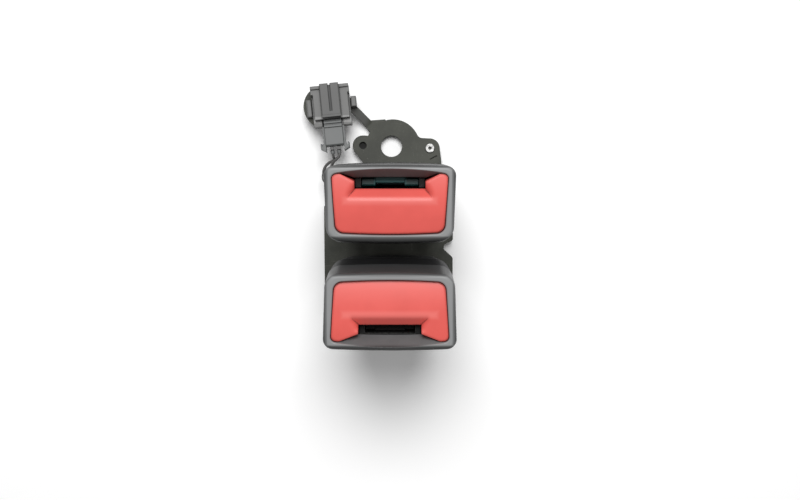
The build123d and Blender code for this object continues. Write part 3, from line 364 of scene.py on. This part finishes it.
def moulded_plastic(name, colour, rough=0.5, cells=2600.0, depth=0.02, edge=0.35 * MM, edge_gain=1.35,
                    mottle=0.14, gap_shade=0.6, reach=1.1 * MM, gloss=0.5, rim_top=None, marks=()):
    """Moulded plastic: fine grain, soft edges lighter than the faces, slow mottling, painted shade in the gaps."""
    material, tree, shader = new_material(name)
    grain = use_group(tree, GRAIN, Cells=cells)
    edges = use_group(tree, EDGES, Radius=edge)
    scuffs = use_group(tree, SCUFFS, Amount=0.35, Length=45.0)
    pale = shade(colour, edge_gain, 0.004)
    deep = shade(colour, 1.0 - mottle)
    # Painted shade: colour darkened where ambient occlusion finds surfaces close by, in gaps and creases
    gap = add(tree, "ShaderNodeAmbientOcclusion", samples=6, inputs={"Distance": reach}).outputs["AO"]
    gap_shade_mask = calc(tree, "MULTIPLY", calc(tree, "SUBTRACT", 1.0, ramp(tree, gap, 0.3, 0.85)), gap_shade)
    body = mix_colour(tree, ramp(tree, grain.outputs["Mottle"], 0.3, 0.7), deep, colour)
    body = with_marks(tree, body, marks)
    # Painted highlight and painted shade on the rim
    if rim_top is not None:
        body = rim_light_and_shade(tree, body, colour, rim_top)
    worn = mix_colour(tree, calc(tree, "MULTIPLY", edges.outputs["Mask"], 0.7), body, pale)
    marked = mix_colour(tree, calc(tree, "MULTIPLY", scuffs.outputs["Mask"], 0.45), worn, pale)
    gap_shaded = mix_colour(tree, gap_shade_mask, marked, shade(colour, PAINTED_SHADE_SHARE))
    roughness = calc(tree, "ADD", rough - 0.05, calc(tree, "MULTIPLY", grain.outputs["Mottle"], 0.14))
    normal = bump(tree, grain.outputs["Height"], 0.35, depth * MM, edges.outputs["Normal"])
    set_inputs(tree, shader, Base_Color=gap_shaded, Roughness=roughness, Normal=normal)
    shader.inputs["Specular IOR Level"].default_value = gloss
    return material


def painted_steel(name, colour, marks=()):
    """Dark coated sheet: cloudy coating, fine pitting, worn edges and scuffs that show brighter metal."""
    material, tree, shader = new_material(name)
    edges = use_group(tree, EDGES, Radius=0.45 * MM, Break=700.0)
    scuffs = use_group(tree, SCUFFS, Amount=0.8, Length=52.0)
    cloud = ramp(tree, noise(tree, 70.0, 5.0, 0.6), 0.3, 0.72)
    specks = ramp(tree, noise(tree, 1500.0, 2.0, 0.5), 0.66, 0.76)
    light = shade(colour, 1.28)
    dark = shade(colour, 0.82)
    body = mix_colour(tree, cloud, dark, light)
    body = mix_colour(tree, calc(tree, "MULTIPLY", specks, 0.3), body, PITTED_STEEL)
    body = mix_colour(tree, calc(tree, "MULTIPLY", edges.outputs["Mask"], 0.55), body, RUBBED_STEEL)
    body = mix_colour(tree, calc(tree, "MULTIPLY", scuffs.outputs["Mask"], 0.8), body, SCRATCHED_STEEL)
    body = with_marks(tree, body, marks)
    pits = noise(tree, 2100.0, 3.0, 0.6)
    roughness = calc(tree, "ADD", 0.50, calc(tree, "MULTIPLY", cloud, 0.16))
    metallic = calc(tree, "MULTIPLY", edges.outputs["Mask"], 0.5)
    normal = bump(tree, pits, 0.30, 0.03 * MM, edges.outputs["Normal"])
    set_inputs(tree, shader, Base_Color=body, Roughness=roughness, Metallic=metallic, Normal=normal)
    shader.inputs["Specular IOR Level"].default_value = 0.12
    return material


def bare_metal(name, colour, rough, stretch=(1.0, 1.0, 30.0)):
    """Ground or plated metal with drawn lines, faint tarnish and bright edges."""
    material, tree, shader = new_material(name)
    coords = add(tree, "ShaderNodeTexCoord").outputs["Object"]
    drawn = add(tree, "ShaderNodeMapping", inputs={"Vector": coords, "Scale": stretch}).outputs["Vector"]
    lines = noise(tree, 500.0, 4.0, 0.65, vector=drawn)
    tarnish = ramp(tree, noise(tree, 160.0, 4.0, 0.6, vector=coords), 0.35, 0.75)
    edges = use_group(tree, EDGES, Radius=0.25 * MM)
    dark = shade(colour, 0.68)
    body = mix_colour(tree, tarnish, colour, dark)
    body = mix_colour(tree, edges.outputs["Mask"], body, shade(colour, 1.3))
    roughness = calc(tree, "ADD", rough - 0.06, calc(tree, "MULTIPLY", lines, 0.16))
    normal = bump(tree, lines, 0.25, 0.01 * MM, edges.outputs["Normal"])
    set_inputs(tree, shader, Base_Color=body, Roughness=roughness, Metallic=1.0, Normal=normal)
    return material


def turned_metal(name, colour, rough, centre):
    """Plated round piece with turning rings, duller between them, and painted shade in its hollow middle."""
    material, tree, shader = new_material(name)
    rings = use_group(tree, SPOT, Centre=centre, Radius=0.9 * MM)
    edges = use_group(tree, EDGES, Radius=0.15 * MM)
    cloud = ramp(tree, noise(tree, 900.0, 4.0, 0.6), 0.35, 0.7)
    body = mix_colour(tree, cloud, colour, shade(colour, 0.72))
    body = mix_colour(tree, edges.outputs["Mask"], body, shade(colour, 1.5))
    # Painted shade in the middle
    body = mix_colour(tree, rings.outputs["Mask"], body, PIN_MIDDLE_SHADE)
    roughness = calc(tree, "ADD", rough, calc(tree, "MULTIPLY", cloud, 0.12))
    normal = bump(tree, rings.outputs["Rings"], 0.3, 0.02 * MM, edges.outputs["Normal"])
    set_inputs(tree, shader, Base_Color=body, Roughness=roughness, Metallic=0.9, Normal=normal)
    return material


def bezel_finish(name, rim_top):
    return moulded_plastic(name, BEZEL_GREY, 0.46, 2300.0, 0.03, gap_shade=0.9, rim_top=rim_top)


PLATE_MARKS = (
    # Painted shade in the boss's recess
    (SPOT, {"Centre": RECESS, "Radius": RECESS_R}, RECESS_SHADE, 0.95),
    # Painted light on the plate's arm
    (SPOT, {"Centre": LIT_ARM, "Radius": LIT_ARM_R}, ARM_LIGHT_GREY, 0.85),
)
# Painted light on the ejectors' links
EJECTOR_LINK_LIGHTS = [(SPOT, {"Centre": link, "Radius": 7.5 * MM}, LINK_LIGHT_TEAL, 0.9) for link in EJECTOR_LINKS]
# Painted highlight on the buttons' crests
CREST_HIGHLIGHTS = [(BOX, {"Centre": crest, "Half_Size": CREST_HALF, "Fade": 1.3 * MM}, CREST_HIGHLIGHT_RED, 0.8) for crest in CRESTS]
# Painted light on the connector's ears
EAR_LIGHTS = [(BOX, {"Centre": ear, "Half_Size": EAR_HALF, "Fade": 0.4 * MM}, EAR_LIGHT_GREY, 0.8) for ear in CONNECTOR_EARS]
# Painted shade in the tongue's slit
SLIT_SHADE_MARK = (BOX, {"Centre": TONGUE_SLIT, "Half_Size": TONGUE_SLIT_HALF, "Fade": 0.2 * MM, "Turn": CONNECTOR_TURN},
             SLIT_SHADE, 0.95)
MATERIALS = {
    "bezel_grey": bezel_finish("near_grained_bezel", NEAR_RIM_TOP),
    "cover_black": moulded_plastic("grained_cover", COVER_BLACK, 0.56, 2300.0, 0.03, gloss=0.25),
    "button_red": moulded_plastic("press_button_red", BUTTON_RED, 0.36, 3400.0, 0.012, 1.8 * MM, 1.08, 0.05, 0.85,
                                  1.6 * MM, 0.4, marks=CREST_HIGHLIGHTS),
    "ejector_teal": moulded_plastic("ejector_acetal", TEAL, 0.34, 3600.0, 0.008, gap_shade=0.3, marks=EJECTOR_LINK_LIGHTS),
    "connector_grey": moulded_plastic("connector_nylon", CONNECTOR_GREY, 0.50, 3000.0, 0.015, 0.5 * MM, 1.6, 0.12, 0.9,
                                      2.0 * MM, marks=EAR_LIGHTS + [SLIT_SHADE_MARK]),
    "plug_grey": moulded_plastic("plug_nylon", PLUG_GREY, 0.48, 3000.0, 0.012, gap_shade=0.9, reach=2.0 * MM),
    "wire_grey": moulded_plastic("wire_insulation", WIRE_GREY, 0.38, 4200.0, 0.006, edge=0.1 * MM),
    "plate_black": painted_steel("coated_plate", PLATE_GREY, PLATE_MARKS),
    "frame_steel": painted_steel("phosphated_frame", COATED_STEEL),
    "bright_steel": bare_metal("ground_steel", STEEL_GREY, 0.40),
    "spring_steel": bare_metal("spring_wire", STEEL_GREY, 0.28),
    "bright_zinc": turned_metal("bright_zinc", ZINC, 0.34, PIN_CENTRE),
}

OWN_FINISH = {
    "far_bezel": bezel_finish("far_grained_bezel", FAR_RIM_TOP),
    "connector_latch": moulded_plastic("connector_tongue", TONGUE_GREY, 0.50, 3000.0, 0.015, gap_shade=1.0, reach=1.6 * MM),
    "plug_terminals": moulded_plastic("crimped_terminals", CRIMP_GREY, 0.42, 3000.0, 0.010, gap_shade=1.0),
}

for subpart in frame["record"]["subparts"]:
    node = frame["nodes"][subpart["node"]]
    node.data.materials.clear()
    node.data.materials.append(OWN_FINISH.get(subpart["node"], MATERIALS[subpart["material_slot"]]))


# Rows of repeated shapes

def set_in_row(tree, out, shape, count, start, pitch, place, material):
    """Ends a tree: copies of a shape in a row on X, set down at a place, made real, with their material."""
    first = add(tree, "ShaderNodeCombineXYZ", inputs={"X": start})
    step = add(tree, "ShaderNodeCombineXYZ", inputs={"X": pitch})
    row = add(tree, "GeometryNodeMeshLine", inputs={
        "Count": count, "Start Location": first.outputs["Vector"], "Offset": step.outputs["Vector"]})
    copies = add(tree, "GeometryNodeInstanceOnPoints", inputs={
        "Points": row.outputs["Mesh"], "Instance": shape.outputs["Mesh"]})
    placed = add(tree, "GeometryNodeTransform", inputs={"Geometry": copies.outputs["Instances"], **place})
    real = add(tree, "GeometryNodeRealizeInstances", inputs={"Geometry": placed.outputs["Geometry"]})
    finish = add(tree, "GeometryNodeSetMaterial", inputs={
        "Geometry": real.outputs["Geometry"], "Material": material})
    tree.links.new(finish.outputs["Geometry"], out.inputs["Geometry"])


# Ribbed seals on the two wires where they leave the plug

def seal_tree(material):
    """Row of ribbed collars along -Y, a pitch apart on X, set down at a place with a turn."""
    tree, source, out = new_group("ribbed_seals", [
        ("Count", "NodeSocketInt", 2), ("Pitch", "NodeSocketFloat", 0.0), ("Length", "NodeSocketFloat", 0.0),
        ("Radius", "NodeSocketFloat", 0.0), ("Rib Depth", "NodeSocketFloat", 0.0), ("Ribs", "NodeSocketFloat", 3.0),
        ("Place", "NodeSocketVector", None), ("Turn", "NodeSocketRotation", None),
    ], [("Geometry", "NodeSocketGeometry")], "GeometryNodeTree")
    given = source.outputs

    tip = add(tree, "ShaderNodeCombineXYZ", inputs={"Y": calc(tree, "MULTIPLY", given["Length"], -1.0)})
    line = add(tree, "GeometryNodeCurvePrimitiveLine", inputs={"End": tip.outputs["Vector"]})
    fine = add(tree, "GeometryNodeResampleCurve", inputs={"Curve": line.outputs["Curve"], "Count": 40})
    along = add(tree, "GeometryNodeSplineParameter").outputs["Factor"]
    phase = calc(tree, "MULTIPLY", calc(tree, "MULTIPLY", along, given["Ribs"]), 2 * pi)
    swell = calc(tree, "MULTIPLY", calc(tree, "COSINE", phase), given["Rib Depth"])
    sized = add(tree, "GeometryNodeSetCurveRadius", inputs={
        "Curve": fine.outputs["Curve"], "Radius": calc(tree, "SUBTRACT", 1.0, swell)})
    ring = add(tree, "GeometryNodeCurvePrimitiveCircle", inputs={"Resolution": 24, "Radius": given["Radius"]})
    collar = add(tree, "GeometryNodeCurveToMesh", inputs={
        "Curve": sized.outputs["Curve"], "Profile Curve": ring.outputs["Curve"], "Fill Caps": True})

    reach = calc(tree, "MULTIPLY", calc(tree, "SUBTRACT", given["Count"], 1.0), given["Pitch"])
    place = {"Translation": given["Place"], "Rotation": given["Turn"]}
    set_in_row(tree, out, collar, given["Count"], calc(tree, "MULTIPLY", reach, -0.5), given["Pitch"], place, material)
    return tree


def grown(name, tree, **values):
    """Plain mesh piece made by a node tree with the given inputs, named with _ for spaces."""
    maker = bpy.data.objects.new(name + "_maker", bpy.data.meshes.new(name + "_maker"))
    bpy.context.scene.collection.objects.link(maker)
    modifier = maker.modifiers.new("shape", "NODES")
    modifier.node_group = tree
    sockets = {item.name: item.identifier for item in tree.interface.items_tree if item.in_out == "INPUT"}
    for key, value in values.items():
        modifier[sockets[key.replace("_", " ")]] = value
    bpy.context.view_layer.update()
    ready = maker.evaluated_get(bpy.context.evaluated_depsgraph_get())
    mesh = bpy.data.meshes.new_from_object(ready)
    mesh.name = name
    bpy.data.objects.remove(maker)
    piece = bpy.data.objects.new(name, mesh)
    bpy.context.scene.collection.objects.link(piece)
    mesh.shade_smooth()
    return piece


def wire_seals():
    plate = Euler((-PLATE_TILT, 0.0, 0.0)).to_matrix()
    turn = plate @ Euler((0.0, 0.0, CONNECTOR_TURN)).to_matrix()
    place = plate @ Vector(CONNECTOR_PLACE) + turn @ Vector(WIRE_EXIT)
    seals = grown("wire_seals", seal_tree(MATERIALS["plug_grey"]), Count=2, Pitch=WIRE_PITCH, Length=SEAL_L,
                  Radius=SEAL_R, Rib_Depth=SEAL_RIB_DEPTH, Ribs=SEAL_RIBS, Place=place,
                  Turn=turn.to_euler())
    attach(seals, "base")


wire_seals()


# Round-wire springs, closed at both ends

def coil_tree(material):
    """Row of helical springs that stand on a foot point, spread on X, wound closer towards their ends."""
    tree, source, out = new_group("wound_springs", [
        ("Count", "NodeSocketInt", 1), ("Spread", "NodeSocketFloat", 0.0), ("Foot", "NodeSocketVector", None),
        ("Height", "NodeSocketFloat", 0.0), ("Coil Radius", "NodeSocketFloat", 0.0),
        ("Wire Radius", "NodeSocketFloat", 0.0), ("Turns", "NodeSocketFloat", 9.0), ("Closing", "NodeSocketFloat", 0.6),
    ], [("Geometry", "NodeSocketGeometry")], "GeometryNodeTree")
    given = source.outputs

    rise = calc(tree, "SUBTRACT", given["Height"], calc(tree, "MULTIPLY", given["Wire Radius"], 2.0))
    helix = add(tree, "GeometryNodeCurveSpiral", inputs={
        "Resolution": 28, "Rotations": given["Turns"], "Start Radius": given["Coil Radius"],
        "End Radius": given["Coil Radius"], "Height": rise})
    along = add(tree, "GeometryNodeSplineParameter").outputs["Factor"]
    wave = calc(tree, "SINE", calc(tree, "MULTIPLY", along, 2 * pi))
    shift = calc(tree, "MULTIPLY", calc(tree, "MULTIPLY", wave, given["Closing"]), calc(tree, "DIVIDE", rise, -2 * pi))
    lift = add(tree, "ShaderNodeCombineXYZ", inputs={"Z": calc(tree, "ADD", shift, given["Wire Radius"])})
    wound = add(tree, "GeometryNodeSetPosition", inputs={
        "Geometry": helix.outputs["Curve"], "Offset": lift.outputs["Vector"]})
    round_wire = add(tree, "GeometryNodeCurvePrimitiveCircle", inputs={
        "Resolution": 10, "Radius": given["Wire Radius"]})
    coil = add(tree, "GeometryNodeCurveToMesh", inputs={
        "Curve": wound.outputs["Geometry"], "Profile Curve": round_wire.outputs["Curve"], "Fill Caps": True})

    gaps = calc(tree, "MAXIMUM", calc(tree, "SUBTRACT", given["Count"], 1.0), 1.0)
    start, pitch = calc(tree, "MULTIPLY", given["Spread"], -0.5), calc(tree, "DIVIDE", given["Spread"], gaps)
    set_in_row(tree, out, coil, given["Count"], start, pitch, {"Translation": given["Foot"]}, material)
    return tree


def wind_springs():
    """Springs in place of their nodes: two under each button, one under each ejector."""
    tree = coil_tree(MATERIALS["spring_steel"])
    for head in ("near", "far"):
        for node, joint in ((head + "_button_springs", head + "_button_press"),
                            (head + "_ejector_spring", head + "_ejector_push")):
            low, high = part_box(node)
            outside, height = (high.y - low.y) / 2, high.z - low.z
            spread = high.x - low.x - 2 * outside
            count = 2 if spread > outside else 1
            foot = Vector(((low.x + high.x) / 2, (low.y + high.y) / 2, low.z))
            coils = grown(node + "_wound", tree, Count=count, Spread=spread if count > 1 else 0.0, Foot=foot,
                          Height=height, Coil_Radius=outside - SPRING_WIRE_R, Wire_Radius=SPRING_WIRE_R,
                          Turns=SPRING_TURNS)
            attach(coils, "base")
            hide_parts(node)
            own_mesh(coils)


wind_springs()


# Stage

def floor_material(name, colour, seen):
    """Matt pale floor, of a paler colour where the camera or a reflection looks at it."""
    material, tree, shader = new_material(name)
    rays = add(tree, "ShaderNodeLightPath").outputs
    looked_at = calc(tree, "MAXIMUM", rays["Is Camera Ray"], calc(
        tree, "MAXIMUM", rays["Is Glossy Ray"], rays["Is Transmission Ray"]))
    set_inputs(tree, shader, Base_Color=mix_colour(tree, looked_at, colour, seen), Roughness=0.9)
    shader.inputs["Specular IOR Level"].default_value = 0.1
    return material


def floor():
    mesh = bpy.data.meshes.new("floor")
    corners = [(x * FLOOR_HALF, y * FLOOR_HALF, FLOOR_Z) for x, y in ((-1, -1), (1, -1), (1, 1), (-1, 1))]
    mesh.from_pydata(corners, [], [(0, 1, 2, 3)])
    mesh.materials.append(floor_material("pale_floor", FLOOR_GREY, FLOOR_SEEN))
    ground = bpy.data.objects.new("floor", mesh)
    bpy.context.scene.collection.objects.link(ground)


def area_light(name, place, target, size, power):
    lamp = bpy.data.lights.new(name, "AREA")
    lamp.shape, lamp.size, lamp.energy = "DISK", size, power
    holder = bpy.data.objects.new(name, lamp)
    aim = Vector(target) - Vector(place)
    holder.matrix_world = Matrix.Translation(place) @ aim.to_track_quat("-Z", "Y").to_matrix().to_4x4()
    bpy.context.scene.collection.objects.link(holder)


def world_light(strength):
    world = bpy.data.worlds.new("studio")
    world.use_nodes = True
    background = world.node_tree.nodes["Background"]
    background.inputs["Color"].default_value = (1.0, 1.0, 1.0, 1.0)
    background.inputs["Strength"].default_value = strength
    bpy.context.scene.world = world


def camera():
    lens = bpy.data.cameras.new("camera")
    lens.lens, lens.sensor_width = LENS, SENSOR
    lens.clip_start = 0.01
    holder = bpy.data.objects.new("camera", lens)
    tip = radians(CAMERA_TIP)
    right, up, back = (1.0, 0.0, 0.0), (0.0, cos(tip), -sin(tip)), (0.0, sin(tip), cos(tip))
    turn = Matrix((right, up, back)).transposed().to_4x4()
    holder.matrix_world = Matrix.Translation(CAMERA_PLACE) @ turn
    bpy.context.scene.collection.objects.link(holder)
    bpy.context.scene.camera = holder


camera()
floor()
area_light("key", KEY_PLACE, LAMP_AIM, KEY_SIZE, KEY_POWER)
area_light("fill", FILL_PLACE, LAMP_AIM, FILL_SIZE, FILL_POWER)
world_light(WORLD_STRENGTH)
bpy.context.scene.view_settings.view_transform = "Standard"
